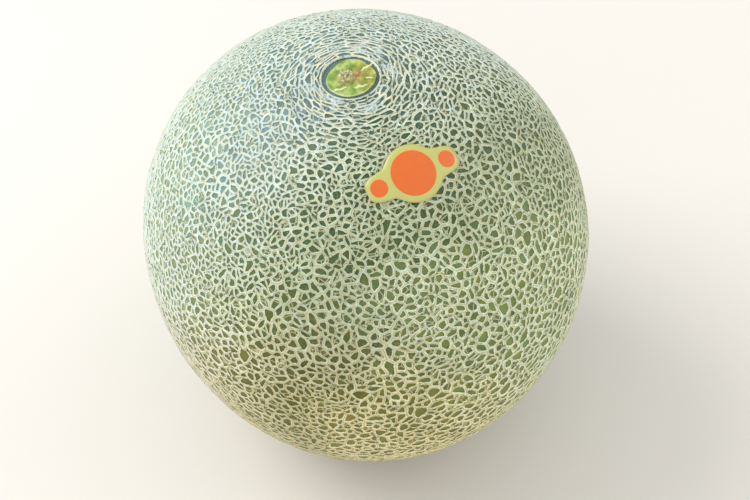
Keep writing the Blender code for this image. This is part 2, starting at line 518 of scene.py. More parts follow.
def cord_cells(draw):
    """Centres of the wide cords' cells on the drawn-in sphere: a rim of cells round the stem scar, another
    round the blossom end, and the rest dropped at random wherever there is room."""
    rim = ring_of_cells(RIM_RADIUS * RIM_CELLS_PLACE / SKIN_RADIUS, RIM_CELLS, RIM_CELLS_TURN)
    button_polar = math.pi - BUTTON_RADIUS * BUTTON_CELLS_PLACE / SKIN_RADIUS
    ways = [UP.copy(), DOWN.copy()] + [WARP.drawn_in(way) for way in rim]
    ways += ring_of_cells(button_polar, BUTTON_CELLS, 0)
    placed = np.zeros((MOST_CORDS, 3))
    placed[: len(ways)] = [way[:] for way in ways]
    count = len(ways)
    tries = np.random.default_rng(SEED).normal(size=(CORD_TRIES, 3))
    tries /= np.linalg.norm(tries, axis=1)[:, None]
    for way in tries:
        true_way = WARP.let_out(Vector(way))
        pitch = CORD_PITCH * (1 + COARSE_PITCH * coarseness(true_way))
        pitch *= LEAST_PITCH + PITCH_SPREAD * draw.random()
        room = pitch * WARP.scale(true_way) / SKIN_RADIUS
        if ((placed[:count] - way) ** 2).sum(1).min() > room**2:
            placed[count] = way
            count += 1
    return [Vector(way) for way in placed[:count]]


def polygons_round(ways):
    """A bmesh of the cells round these centres: each corner is the middle of three neighbouring centres."""
    hull = bmesh.new()
    for way in ways:
        hull.verts.new(way)
    bmesh.ops.convex_hull(hull, input=hull.verts)
    bmesh.ops.recalc_face_normals(hull, faces=hull.faces)
    hull.faces.index_update()
    net = bmesh.new()
    corners = [net.verts.new(face.calc_center_median().normalized()) for face in hull.faces]
    cells = []
    for vert in hull.verts:
        first = loop = vert.link_loops[0]
        cell = []
        while True:
            cell.append(corners[loop.face.index])
            loop = loop.link_loop_prev.link_loop_radial_next
            if loop == first:
                break
        cells.append(net.faces.new(cell))
    hull.free()
    return net, cells


def make_round(net, face, polar, sides):
    """Sets a pole cell's corners on a circle and cuts its sides until it has at least this many."""
    for vert in face.verts:
        vert.co = WARP.drawn_in(direction(polar, turn_of(vert.co)))
    cuts = math.ceil(sides / len(face.edges)) - 1
    for edge in list(face.edges):
        start, end = edge.verts
        first = turn_of(start.co)
        step = (turn_of(end.co) - first + math.pi) % math.tau - math.pi
        for i in range(cuts):
            edge, vert = bmesh.utils.edge_split(edge, start, 1 / (cuts + 1 - i))
            share = (i + 1) / (cuts + 1)
            vert.co = WARP.drawn_in(direction(polar, first + step * share))
            start = vert
            edge = next(e for e in vert.link_edges if e.other_vert(vert) != edge.other_vert(vert))


def flat_corners(points, middle):
    """Points near a direction as flat coordinates in the plane across it, with that plane's two axes."""
    across = middle.orthogonal().normalized()
    along = middle.cross(across)
    return [((p - middle).dot(across), (p - middle).dot(along)) for p in points], across, along


def area_of(flat):
    return sum(a[0] * b[1] - b[0] * a[1] for a, b in zip(flat, flat[1:] + flat[:1])) / 2


def where_to_cut(flat, draw, sliver):
    """The two sides that a cut across the cell's long way meets, each as (side, share along it). The cut runs
    near the middle, or near one end where it is to part off a sliver."""
    ends = list(zip(flat, flat[1:] + flat[:1]))
    sides = [((a[0] + b[0]) / 2, (a[1] + b[1]) / 2, math.dist(a, b)) for a, b in ends]
    girth = sum(length for _, _, length in sides)
    cx = sum(x * length for x, _, length in sides) / girth
    cy = sum(y * length for _, y, length in sides) / girth
    xx = sum((x - cx) ** 2 * length for x, _, length in sides)
    yy = sum((y - cy) ** 2 * length for _, y, length in sides)
    xy = sum((x - cx) * (y - cy) * length for x, y, length in sides)
    long_way = 0.5 * math.atan2(2 * xy, xx - yy)
    half_length = girth / 4
    place = draw.choice((-1, 1)) * SLIVER_PLACE if sliver else draw.uniform(-OFF_MIDDLE, OFF_MIDDLE)
    reach = half_length * place
    cx += reach * math.cos(long_way)
    cy += reach * math.sin(long_way)
    turn = long_way + draw.gauss(0, CUT_TURN)
    nx, ny = math.cos(turn), math.sin(turn)
    beyond = [(x - cx) * nx + (y - cy) * ny for x, y in flat]
    hits = []
    for i, (start, end) in enumerate(ends):
        a, b = beyond[i], beyond[(i + 1) % len(flat)]
        if (a > 0) == (b > 0):
            continue
        share = a / (a - b)
        x = start[0] + share * (end[0] - start[0])
        y = start[1] + share * (end[1] - start[1])
        hits.append(((x - cx) * -ny + (y - cy) * nx, i, share, sides[i][2]))
    before = [hit for hit in hits if hit[0] < 0]
    after = [hit for hit in hits if hit[0] >= 0]
    if not before or not after:
        return None
    return max(before)[1:], min(after)[1:]


def corner_on(face, hit, least):
    """The corner where a cut meets a side: a new one, or the side's own where that is too near."""
    side, share, length = hit
    loop = face.loops[side]
    if length < 2 * least:
        return loop.vert if share < 0.5 else loop.link_loop_next.vert
    share = max(least / length, min(1 - least / length, share))
    return bmesh.utils.edge_split(loop.edge, loop.vert, share)[1]


def split_cells(net, keep, draw):
    """Splits the wide cords' cells with finer and finer lines. Returns how fine the line on each edge is."""
    level = net.edges.layers.int.new("level")
    waiting = [(face, 1) for face in net.faces if face not in keep]
    while waiting:
        face, depth = waiting.pop()
        middle = face.calc_center_median().normalized()
        flat, _, _ = flat_corners([vert.co for vert in face.verts], middle)
        true_way = WARP.let_out(middle)
        scale = WARP.scale(true_way) / SKIN_RADIUS
        fine = CELL_AREA + (COARSE_AREA - CELL_AREA) * coarseness(true_way)
        fine *= 1 + STEM_COARSE * near_stem(true_way)
        limit = fine * MOST_AREA * math.exp(min(draw.gauss(0, SPREAD_OF_AREAS), MOST_SPREAD))
        share = area_of(flat) / (limit * scale**2)
        sliver = share < 1
        if share < SLIVER_LEAST or sliver and draw.random() > SLIVER_SHARE:
            continue
        hits = where_to_cut(flat, draw, sliver)
        if hits is None:
            continue
        one, two = sorted(hits, reverse=True)
        start, end = corner_on(face, one, LEAST_SIDE * scale), corner_on(face, two, LEAST_SIDE * scale)
        if start == end or any(end in edge.verts for edge in start.link_edges):
            continue
        other, loop = bmesh.utils.face_split(face, start, end)
        loop.edge[level] = depth
        if not sliver:
            waiting += [(face, depth + 1), (other, depth + 1)]
    return level


def slacken(net, fixed, draw):
    """Pulls each corner a little towards its neighbours, so that a line bends where another one joins it, and
    then moves it a little at random."""
    for _ in range(2):
        moved = {}
        for vert in net.verts:
            if vert not in fixed:
                near = [edge.other_vert(vert).co for edge in vert.link_edges]
                mean = sum(near, Vector()) / len(near)
                moved[vert] = vert.co.lerp(mean, SLACK).normalized()
        for vert, co in moved.items():
            vert.co = co
    for vert in net.verts:
        if vert not in fixed:
            wobble = WOBBLE / SKIN_RADIUS * WARP.scale(WARP.let_out(vert.co))
            vert.co = (vert.co + Vector([draw.gauss(0, wobble) for _ in range(3)])).normalized()


def meeting(p, normals, widths, q=None):
    """Where the inner edges of two ridges meet: one along a line through p, the other through q."""
    (ax, ay), (bx, by) = normals
    q = q or p
    one = ax * p[0] + ay * p[1] + widths[0]
    two = bx * q[0] + by * q[1] + widths[1]
    turn = ax * by - ay * bx
    if abs(turn) < STRAIGHT:
        return None
    return (one * by - two * ay) / turn, (ax * two - bx * one) / turn


def hole_in(flat, widths):
    """The hole that the ridges round a cell leave: its corners, and which of them each cell corner faces."""
    count = len(flat)
    ways, normals = [], []
    for (ax, ay), (bx, by) in zip(flat, flat[1:] + flat[:1]):
        length = math.hypot(bx - ax, by - ay) or 1
        ways.append(((bx - ax) / length, (by - ay) / length))
        normals.append((-ways[-1][1], ways[-1][0]))
    groups = []
    for i in range(count):
        pair = normals[i - 1], normals[i]
        point = meeting(flat[i], pair, (widths[i - 1], widths[i]))
        if point is None:
            width = (widths[i - 1] + widths[i]) / 2
            point = tuple(flat[i][k] + width * (pair[0][k] + pair[1][k]) / 2 for k in (0, 1))
        groups.append((point, [i]))
    while len(groups) > 2:
        worst, at = LEAST_HOLE_SIDE, None
        for k, (point, members) in enumerate(groups):
            after = groups[(k + 1) % len(groups)][0]
            way = ways[members[-1]]
            along = (after[0] - point[0]) * way[0] + (after[1] - point[1]) * way[1]
            if along < worst:
                worst, at = along, k
        if at is None:
            break
        (p, first), (q, second) = groups[at], groups[(at + 1) % len(groups)]
        before, after = first[0] - 1, second[-1]
        mean = (p[0] + q[0]) / 2, (p[1] + q[1]) / 2
        point = meeting(
            flat[first[0]], (normals[before], normals[after]), (widths[before], widths[after]), flat[after]
        )
        if point is None or math.dist(point, mean) > 2 * LEAST_SIDE:
            point = mean
        groups[at] = (point, first + second)
        del groups[(at + 1) % len(groups)]
    hole = [point for point, _ in groups]
    if len(groups) < 3 or area_of(hole) < LEAST_HOLE:
        return [], [0] * count
    faced = [0] * count
    for k, (_, members) in enumerate(groups):
        for i in members:
            faced[i] = k
    return hole, faced


class Rind:
    """Gathers the fine rind's corners and faces, with what the materials need to know about each."""

    LOOKS = ("rise", "scar", "knob", "crack", "stain")

    def __init__(self):
        self.places, self.looks = [], []
        self.faces, self.floor, self.chance = [], [], []

    def corner(self, place, rise, scar=0.0, knob=0.0, crack=0.0, stain=0.0):
        self.places.append(place)
        self.looks.append((rise, scar, knob, crack, stain))
        return len(self.places) - 1

    def face(self, corners, floor=False, chance=0.5):
        self.faces.append(corners)
        self.floor.append(floor)
        self.chance.append(chance)

    def ring(self, outer, inner):
        """A ring of faces between two loops, or a fan where the inner one is a single corner."""
        count = len(outer)
        for i in range(count):
            j = (i + 1) % count
            if len(inner) == 1:
                self.face([outer[i], outer[j], inner[0]])
            else:
                self.face([outer[i], outer[j], inner[j], inner[i]])


def ridge_width(way, fineness):
    """Half the width of a line of the net, which wanders along the line and from place to place."""
    wander = 1 + WIDTH_WANDER * noise.noise(way * SHORT_WAVES)
    wander += WIDTH_WANDER * noise.noise(way * LONG_WAVES + LONG_SHIFT)
    place = (1 - STEM_SLIMMER * near_stem(way)) * (FINE_WIDTH + COARSE_WIDER * coarseness(way))
    return HALF_WIDTHS[min(fineness, len(HALF_WIDTHS) - 1)] * wander * place


def weave_net(rind, net, level, poles, draw):
    """Adds every cell: its share of the ridges round it, sloping down to the hole, and the hole's floor."""
    net.verts.index_update()
    ways = [WARP.let_out(vert.co) for vert in net.verts]
    rim = set(poles[0].edges)
    for vert, way in zip(net.verts, ways):
        fineness = min(edge[level] for edge in vert.link_edges)
        strength = CREST_SHARES[min(fineness, len(CREST_SHARES) - 1)]
        lift = NET_HEIGHT * strength * (CREST_MEAN + CREST_WANDER * noise.noise(way * CREST_WAVES))
        rind.corner(on_body(way, lift), 1)
    for face in net.faces:
        if face in poles:
            continue
        loops = list(face.loops)
        around = [loop.vert.index for loop in loops]
        middle = sum((ways[i] for i in around), Vector()).normalized()
        radius = skin_radius(middle)
        flat, across, along = flat_corners([ways[i] for i in around], middle)
        flat = [(x * radius, y * radius) for x, y in flat]
        longest = max(math.dist(a, b) for a in flat for b in flat)
        most = MOST_WIDTH * area_of(flat) / longest
        widths = []
        for loop, a, b in zip(loops, around, around[1:] + around[:1]):
            width = ridge_width((ways[a] + ways[b]) / 2, loop.edge[level])
            widths.append(min(most, RIM_HALF_WIDTH if loop.edge in rim else width))
        hole, faced = hole_in(flat, widths)
        chance = draw.random()
        if hole:
            depth = SMALL_DEPTH + DEPTH_GAIN * smooth_step(LEAST_HOLE, DEEP_HOLE, area_of(hole))
            rise = 0
        else:
            hole = [tuple(sum(c) / len(flat) for c in zip(*flat))]
            depth, rise = CLOSED_DEPTH, CLOSED_RISE
        lift = NET_HEIGHT * CREST_SHARES[-1] - HOLE_DEPTH * depth
        inner = []
        for x, y in hole:
            way = (middle + across * (x / radius) + along * (y / radius)).normalized()
            inner.append(rind.corner(on_body(way, lift), rise))
        for i, a in enumerate(around):
            j = (i + 1) % len(around)
            corners = [a, around[j], inner[faced[j]]]
            if faced[i] != faced[j]:
                corners.append(inner[faced[i]])
            rind.face(corners, chance=chance)
        if len(inner) > 2:
            rind.face(inner, floor=True, chance=chance)


def scar_edge(turn):
    """How far the scar's edge is from its middle, as a share of the radius: flat in some places."""
    share = SCAR_FULLNESS + SCAR_RIPPLE * math.cos(SCAR_RIPPLES * turn)
    for flat, width, depth in SCAR_FLATS:
        away = (turn - math.radians(flat) + math.pi) % math.tau - math.pi
        share -= depth * bell(away, width)
    return share


def point_on_scar(far, turn):
    return Vector((far * math.cos(turn), far * math.sin(turn)))


def crack_at(point):
    """How much of a crack there is at this point of the scar. A crack wanders, and is slimmer at its ends."""
    grain = point.to_3d() / CRACK_BEND_LENGTH
    bent = point + CRACK_BEND * Vector((noise.noise(grain), noise.noise(grain + CRACK_SHIFT)))
    most = 0
    for ends in CRACKS:
        a, b = (point_on_scar(far, math.radians(turn)) for far, turn in ends)
        share = max(0, min(1, (bent - a).dot(b - a) / (b - a).length_squared))
        width = CRACK_WIDTH * (CRACK_ENDS + share * (1 - share))
        most = max(most, bell((bent - a.lerp(b, share)).length, width))
    return most


def sum_of_waves(grain, waves, start=0):
    """The start plus the waves, each a share and how often it comes back."""
    return sum((share * noise.noise(grain * often) for share, often in waves), start)


def stain_at(point, grain):
    """How stained the scar is at this point, in loose patches."""
    offset = point - STAIN_PLACE
    stain = bell(math.hypot(offset.x / STAIN_SPREAD.x, offset.y / STAIN_SPREAD.y), 1)
    return stain * (STAIN_MEAN + STAIN_WANDER * noise.noise(grain * STAIN_WAVES + STAIN_SHIFT))


def scar_corner(rind, far, lift, turn):
    """One corner of the crown. The far that it is given is on a round scar, and its own follows the edge."""
    round_far = far
    far *= 1 + (scar_edge(turn) - 1) * smooth_step(ROUND_FROM, SCAR_RADIUS, far)
    point = point_on_scar(far, turn)
    grain = point.to_3d() / MM
    inside = smooth_step(SCAR_RADIUS, SCAR_RADIUS - SCAR_EDGE, round_far)
    apart = (point - KNOB_PLACE).length * sum_of_waves(grain, KNOB_EDGE_WAVES, 1)
    knob = smooth_step(KNOB_FOOT * KNOB_RADIUS, KNOB_TOP * KNOB_RADIUS, apart)
    moat = bell(apart - MOAT_PLACE * KNOB_RADIUS, MOAT_WIDTH)
    # A faint pale rim all round the lip, with a painted highlight that is strongest in front
    lip = LIP_PALE + LIP_HIGHLIGHT_GAIN * smooth_step(0, 1, -math.sin(turn + LIP_HIGHLIGHT_TURN))
    crack = crack_at(point)
    pale = max(crack, lip * bell(round_far - SCAR_LIP, LIP_WIDTH))

    lift += inside * sum_of_waves(grain, SCAR_WAVES) * MM
    lift += knob * KNOB_HEIGHT * sum_of_waves(grain, KNOB_WAVES, KNOB_MEAN)
    lift -= MOAT_DEPTH * moat
    lift = max(lift, CRACK_RIDGE * crack * (1 - inside))
    place = on_body(direction(far / SKIN_RADIUS, turn), lift)

    rise = smooth_step(0, NET_HEIGHT, lift) * (1 - inside)
    turn_round_knob = math.atan2(point.y - KNOB_PLACE.y, point.x - KNOB_PLACE.x)
    # The moat's stain all round, darkened in front as painted shadow under the knob
    in_front = smooth_step(*MOAT_SHADOW_SIDE, math.sin(turn_round_knob))
    stain = max(stain_at(point, grain), moat * (MOAT_STAIN + MOAT_SHADOW_GAIN * in_front))
    return rind.corner(place, rise, inside, knob, pale * (1 - knob), stain)


def add_crown(rind, loop):
    """Fills the stem's cell: the rim's inner slope, the groove, and the scar in even steps."""
    turns = [turn_of(rind.places[i]) for i in loop]
    least = CROWN_STEPS[-1][0]
    inner_steps = [(least * (1 - (i + 1) / SCAR_RINGS), SCAR_HEIGHT) for i in range(SCAR_RINGS - 1)]
    for far, lift in list(CROWN_STEPS) + inner_steps:
        inner = [scar_corner(rind, far, lift, turn) for turn in turns]
        rind.ring(loop, inner)
        loop = inner
    rind.ring(loop, [scar_corner(rind, 0, SCAR_HEIGHT, 0)])


def add_button(rind, loop):
    """Fills the cell at the blossom end with a low corky button."""
    turns = [turn_of(rind.places[i]) for i in loop]
    for far, lift in BUTTON_STEPS:
        places = [on_body(direction(math.pi - far / SKIN_RADIUS, turn), lift) for turn in turns]
        inner = [rind.corner(place, BUTTON_RISE, knob=BUTTON_CORK) for place in places]
        rind.ring(loop, inner)
        loop = inner
    middle = on_body(DOWN, BUTTON_STEPS[-1][1])
    rind.ring(loop, [rind.corner(middle, BUTTON_RISE, knob=MIDDLE_CORK)])


def read(items, name, width=1, kind=float):
    """This property of every item of a mesh, as rows of this width."""
    values = np.empty(len(items) * width, kind)
    items.foreach_get(name, values)
    return values.reshape(-1, width).squeeze()


def write(mesh, name, values, kind="FLOAT", domain="POINT"):
    """Keeps these values in the mesh under this name."""
    mesh.attributes.new(name, kind, domain).data.foreach_set("value", values)


def lay_out(mesh):
    """The layout for baking: six sides of a cube round the body, each in its own tile. The tiles are three
    across, one for each axis, and two up, one for each end of it."""
    places = read(mesh.vertices, "co", 3) - np.array(CENTRE)
    corners = read(mesh.loops, "vertex_index", kind=int)
    totals = read(mesh.polygons, "loop_total", kind=int)
    middles = read(mesh.polygons, "center", 3) - np.array(CENTRE)
    axis = np.abs(middles).argmax(1)
    side = axis + 3 * (np.take_along_axis(middles, axis[:, None], 1)[:, 0] < 0)
    axis, side = np.repeat(axis, totals), np.repeat(side, totals)
    at = places[corners]
    rows = np.arange(len(at))
    depth = np.abs(at[rows, axis])
    spread = [np.arctan2(at[rows, (axis + turn) % 3], depth) / (math.pi / 4) for turn in (1, 2)]
    u = (side % 3 + 0.5 + TILE_SHARE * spread[0] / 2) / 3
    v = (side // 3 + 0.5 + TILE_SHARE * spread[1] / 2) / 2
    layer = mesh.uv_layers.new(name="OFBake")
    layer.data.foreach_set("uv", np.stack((u, v), 1).ravel())


def add_object(name, mesh, material):
    mesh.shade_smooth()
    mesh.materials.append(material)
    piece = bpy.data.objects.new(name, mesh)
    bpy.context.scene.collection.objects.link(piece)
    return piece


def make_rind(material):
    """The whole outside of the fruit as one closed mesh."""
    draw = random.Random(SEED)
    net, cells = polygons_round(cord_cells(draw))
    crown, button = cells[:2]
    make_round(net, crown, RIM_RADIUS / SKIN_RADIUS, RIM_SIDES)
    make_round(net, button, math.pi - BUTTON_RADIUS / SKIN_RADIUS, BUTTON_SIDES)
    level = split_cells(net, (crown, button), draw)
    slacken(net, set(crown.verts) | set(button.verts), draw)
    rind = Rind()
    weave_net(rind, net, level, (crown, button), draw)
    add_crown(rind, [vert.index for vert in crown.verts])
    add_button(rind, [vert.index for vert in button.verts])
    net.free()

    mesh = bpy.data.meshes.new("fine_rind")
    mesh.from_pydata(rind.places, [], rind.faces)
    for name, values in zip(Rind.LOOKS, zip(*rind.looks)):
        write(mesh, name, values)
    write(mesh, "chance", rind.chance, domain="FACE")
    edges = read(mesh.loops, "edge_index", kind=int)
    sharp = np.zeros(len(mesh.edges), bool)
    sharp[edges[np.repeat(rind.floor, [len(face) for face in rind.faces])]] = True
    write(mesh, "sharp_edge", sharp, "BOOLEAN", "EDGE")
    lay_out(mesh)
    return add_object("fine_rind", mesh, material)


def sheet_edge(turn):
    """Distance from the sticker's middle to its outline: a disc crossed by a band with round corners."""
    along = abs(math.cos(turn)) / (STICKER_LENGTH / 2)
    across = abs(math.sin(turn)) / (STICKER_BAND / 2)
    far = (along**BAND_SQUARENESS + across**BAND_SQUARENESS) ** (-1 / BAND_SQUARENESS)
    return (far**CREASE_SHARPNESS + (STICKER_DISC / 2) ** CREASE_SHARPNESS) ** (1 / CREASE_SHARPNESS)


def make_sticker(material):
    """A thin sheet that lies on the net. Each of its corners keeps its place along and across the sheet."""
    middle = direction(STICKER_POLAR, STICKER_AZIMUTH)
    along = Vector((math.cos(STICKER_TILT), math.sin(STICKER_TILT), 0))
    along = (along - middle * along.dot(middle)).normalized()
    across = middle.cross(along)
    reach = skin_radius(middle) + STICKER_LIFT
    flat, faces = [(0, 0)], []
    for ring in range(STICKER_RINGS):
        for i in range(STICKER_SIDES):
            turn = math.tau * i / STICKER_SIDES
            turn = math.atan2(math.sin(turn) * STICKER_DISC, math.cos(turn) * STICKER_LENGTH)
            far = sheet_edge(turn) * (ring + 1) / STICKER_RINGS
            flat.append((math.cos(turn) * far, math.sin(turn) * far))
    for i in range(STICKER_SIDES):
        j = (i + 1) % STICKER_SIDES
        faces.append((0, 1 + i, 1 + j))
        for ring in range(STICKER_RINGS - 1):
            a, b = 1 + ring * STICKER_SIDES, 1 + (ring + 1) * STICKER_SIDES
            faces.append((a + i, b + i, b + j, a + j))
    places = []
    for x, y in flat:
        way = (middle * reach + along * x + across * y).normalized()
        wave = STICKER_WAVES * noise.noise(way * (SKIN_RADIUS / STICKER_WAVE_LENGTH))
        places.append(on_body(way, STICKER_LIFT + wave))
    mesh = bpy.data.meshes.new("fruit_sticker")
    mesh.from_pydata(places, [], faces)
    for name, values in zip(("along", "across"), zip(*flat)):
        write(mesh, name, values)
    piece = add_object("fruit_sticker", mesh, material)
    solidify = piece.modifiers.new("thickness", "SOLIDIFY")
    solidify.thickness = STICKER_THICKNESS
    solidify.offset = -1
    return piece


class Paint:
    """Makes the nodes of one Principled material. Lengths are in metres, and places are the object's own."""

    def __init__(self, name, **fixed):
        self.material = bpy.data.materials.new(name)
        self.material.use_nodes = True
        self.nodes = self.material.node_tree.nodes
        self.shader = self.nodes["Principled BSDF"]
        self.place = self.nodes.new("ShaderNodeTexCoord").outputs["Object"]
        self.feed(self.shader, {name.replace("_", " "): value for name, value in fixed.items()})

    def feed(self, node, inputs):
        for key, value in inputs.items():
            if isinstance(value, bpy.types.NodeSocket):
                self.material.node_tree.links.new(value, node.inputs[key])
            elif node.inputs[key].type == "RGBA":
                node.inputs[key].default_value = (*value, 1)
            else:
                node.inputs[key].default_value = value

    def node(self, kind, inputs, output=0, **settings):
        node = self.nodes.new("ShaderNode" + kind)
        for key, value in settings.items():
            setattr(node, key, value)
        self.feed(node, inputs)
        return node.outputs[output]

    def noise(self, size, detail=2.0):
        return self.node("TexNoise", {"Vector": self.place, "Scale": 1 / size, "Detail": detail})

    def cell(self, size, feature):
        """How far a point is from its nearest seed, or from its cell's edge, in units of size."""
        return self.node("TexVoronoi", {"Vector": self.place, "Scale": 1 / size}, feature=feature)

    def attribute(self, name):
        return self.node("Attribute", {}, output="Fac", attribute_name=name)

    def along(self, way):
        """How far a point is along a direction, in units of the fruit's radius."""
        inputs = {0: self.place, 1: way / SKIN_RADIUS}
        return self.node("VectorMath", inputs, output="Value", operation="DOT_PRODUCT")

    def maths(self, how, *values):
        return self.node("Math", dict(enumerate(values)), operation=how)

    def sum(self, one, two, share=1.0):
        """One plus a share of two."""
        return self.maths("MULTIPLY_ADD", two, share, one)

    def product(self, one, two):
        return self.maths("MULTIPLY", one, two)

    def centred(self, value):
        """A value from 0 to 1, moved to run from -0.5 to 0.5."""
        return self.sum(value, -0.5)

    def step(self, value, low, high, to_low=0.0, to_high=1.0, how="SMOOTHSTEP"):
        inputs = {"Value": value, "From Min": low, "From Max": high, "To Min": to_low, "To Max": to_high}
        return self.node("MapRange", inputs, interpolation_type=how)

    def mix(self, share, one, two, how="MIX"):
        """One colour with a share of another over it. A Mix node's colours are its sockets 6 and 7."""
        return self.node("Mix", {0: share, 6: one, 7: two}, output=2, data_type="RGBA", blend_type=how)

    def tint(self, share, one, two):
        """One colour multiplied by another, as far as the share says."""
        return self.mix(share, one, two, "MULTIPLY")

    def ramp(self, value, stops):
        """Colours along a value that runs from 0 to 1: stops are pairs of a place and a colour, in order."""
        colour = self.node("ValToRGB", {"Fac": value})
        elements = colour.node.color_ramp.elements
        for element, (place, shade) in zip(list(elements), (stops[0], stops[-1])):
            element.position, element.color = place, (*shade, 1)
        for place, shade in stops[1:-1]:
            elements.new(place).color = (*shade, 1)
        return colour

    def finish(self, colour, roughness, height, depth):
        """Links the colour and the roughness, and a bump of this depth."""
        bump = self.node("Bump", {"Height": height, "Distance": depth, "Strength": 1.0})
        self.feed(self.shader, {"Base Color": colour, "Roughness": roughness, "Normal": bump})
        return self.material


class RindPaint(Paint):
    """The rind's looks. Its skin, net and scar share their grain and the ways they change along."""

    def __init__(self):
        super().__init__("netted_rind", Specular_IOR_Level=0.28)
        self.rise, self.chance = self.attribute("rise"), self.attribute("chance")
        self.clump, self.crumb = self.noise(CLUMP_GRAIN), self.noise(CRUMB_GRAIN, 3)
        self.fleck, self.dust = self.noise(FLECK_GRAIN), self.noise(DUST_GRAIN)
        hue = self.step(self.along(HUE_WAY), *HUE_RANGE, how="LINEAR")
        self.hue = self.sum(hue, self.centred(self.noise(COARSE_GRAIN)), HUE_WANDER)
        self.low = self.step(self.along(LOW_WAY), *LOW_STEP)
        flat = self.node("VectorMath", {0: self.place, 1: (1, 1, 0)}, operation="MULTIPLY")
        self.from_stem = self.node("VectorMath", {0: flat}, output="Value", operation="LENGTH")
        self.near = self.step(self.from_stem, *STEM_STEP)
        self.ragged = self.sum(self.rise, self.centred(self.fleck), RAGGEDNESS)
        self.cover = self.step(self.ragged, *COVER_STEP)
        self.tan = self.ramp(self.hue, TAN_STOPS)
        self.thread, self.split, self.pit = self.threads(), self.splits(), self.pits()

    def threads(self):
        """Thin pale lines in some of the holes."""
        line = self.step(self.cell(THREAD_CELLS, "DISTANCE_TO_EDGE"), *THREAD_STEP)
        return self.product(line, self.step(self.chance, *THREAD_HOLES))

    def splits(self):
        """Tan splits along the crests of the net."""
        return self.product(self.step(self.ragged, *SPLIT_STEP), self.step(self.crumb, *SPLIT_CRUMBS))

    def pits(self):
        """Small brown pits in patches of the net."""
        pit = self.step(self.cell(PIT_CELLS, "F1"), *PIT_STEP)
        pit = self.product(pit, self.step(self.clump, *PIT_CLUMPS))
        return self.product(pit, self.step(self.crumb, *PIT_CRUMBS))

    def smears(self):
        """Pale smears round the stem, outside its rim."""
        smear = self.step(self.noise(SMEAR_GRAIN, 3), *SMEAR_PATCHES)
        smear = self.product(self.step(self.from_stem, *SMEAR_REACH), smear)
        smear = self.product(smear, self.step(self.from_stem, *SMEAR_START))
        return self.product(smear, self.step(self.fleck, *SMEAR_FLECKS))

    def skin(self):
        """Mottled skin, which is darkest at the foot of the ridges, as painted shade."""
        hue = self.sum(self.hue, self.centred(self.chance), HUE_BY_CELL)
        skin = self.ramp(hue, SKIN_STOPS)
        # Painted light: paler skin towards the left, where the key light falls
        skin = self.tint(self.step(self.along(LEFT_WAY), *PAINTED_LIGHT_STEP), skin, PAINTED_LIGHT_SIDE)
        blue = self.mix(self.step(self.along(BLUE_WAY), *BLUE_STEP), GREEN_SIDE, BLUE_SIDE)
        cool = self.mix(self.step(self.noise(SKIN_TINT_GRAIN, 1), *SKIN_TINT_STEP), SKIN_WARM, SKIN_COOL)
        skin = self.tint(1.0, self.tint(1.0, skin, blue), cool)
        skin = self.mix(self.step(self.noise(PATCH_GRAIN), *DARK_PATCHES), skin, SKIN_DARK)
        skin = self.mix(self.step(self.crumb, *PALE_CRUMBS), skin, SKIN_PALE)
        # Bluer near the stem; low in front, painted shade on the skin, warm as if from bounce light
        skin = self.tint(self.low, self.tint(self.near, skin, STEM_SKIN), PAINTED_LOW_SHADE)
        skin = self.mix(self.step(self.dust, *SPECK_STEP), skin, self.tan)
        skin = self.mix(self.thread, skin, THREAD_COLOUR)
        # Painted shade at the foot of the ridges, where they meet the holes
        return self.tint(self.step(self.rise, *FOOT_STEP), skin, FOOT_SHADE)

    def net(self):
        """Pale corky lines, darker at their edges as painted shade, with splits, tan dust and pits. By the stem
        they are browner.
        """
        net = self.ramp(self.hue, NET_STOPS)
        net = self.tint(self.step(self.clump, *SIDE_CLUMPS), net, NET_PATCH_AND_EDGE_SHADE)
        cool = self.mix(self.step(self.noise(NET_TINT_GRAIN), *NET_TINT_STEP), NET_WARM, NET_COOL)
        net = self.tint(1.0, net, cool)
        # Painted shade down the edges of the lines, towards the holes
        net = self.mix(self.step(self.ragged, *EDGE_SHADE_STEP), self.tint(EDGE_SHADE_SHARE, net, NET_PATCH_AND_EDGE_SHADE), net)
        net = self.mix(self.product(self.split, SPLIT_SHARE), net, self.tan)
        net = self.mix(self.step(self.dust, *TAN_DUST), net, self.tan)
        net = self.mix(self.product(self.pit, PIT_SHARE), net, NET_BROWN)
        return self.mix(self.product(self.near, self.step(self.clump, *STEM_CLUMPS)), net, STEM_NET)

    def with_scar(self, colour):
        """The rind's colour with the green scar on it, its stain with painted shadow under the knob, its pale
        cracks, the painted highlight on its lip, and its knob of cork.
        """
        green = self.ramp(self.noise(SCAR_GRAIN, 3), SCAR_STOPS)
        green = self.tint(self.step(self.along(LEFT_WAY), *OLIVE_STEP), green, OLIVE_SIDE)
        green = self.mix(self.attribute("stain"), green, self.ramp(self.crumb, STAIN_STOPS))
        colour = self.mix(self.attribute("scar"), colour, green)
        crack = self.product(self.attribute("crack"), self.step(self.crumb, *CRACK_CRUMBS))
        # Pale cracks, and the painted highlight on the scar's lip
        colour = self.mix(crack, colour, CRACK_AND_HIGHLIGHT_COLOUR)
        return self.mix(self.attribute("knob"), colour, self.ramp(self.noise(CORK_GRAIN, 3), CORK_STOPS))

    def relief(self):
        """Height of the finest grain, which is corky on the net and nearly smooth on the skin."""
        height = self.product(self.sum(self.dust, self.crumb, CRUMB_BUMP), self.cover)
        height = self.sum(height, self.dust, SKIN_BUMP)
        height = self.sum(self.sum(height, self.split, SPLIT_BUMP), self.pit, PIT_BUMP)
        return self.sum(height, self.thread, THREAD_BUMP)


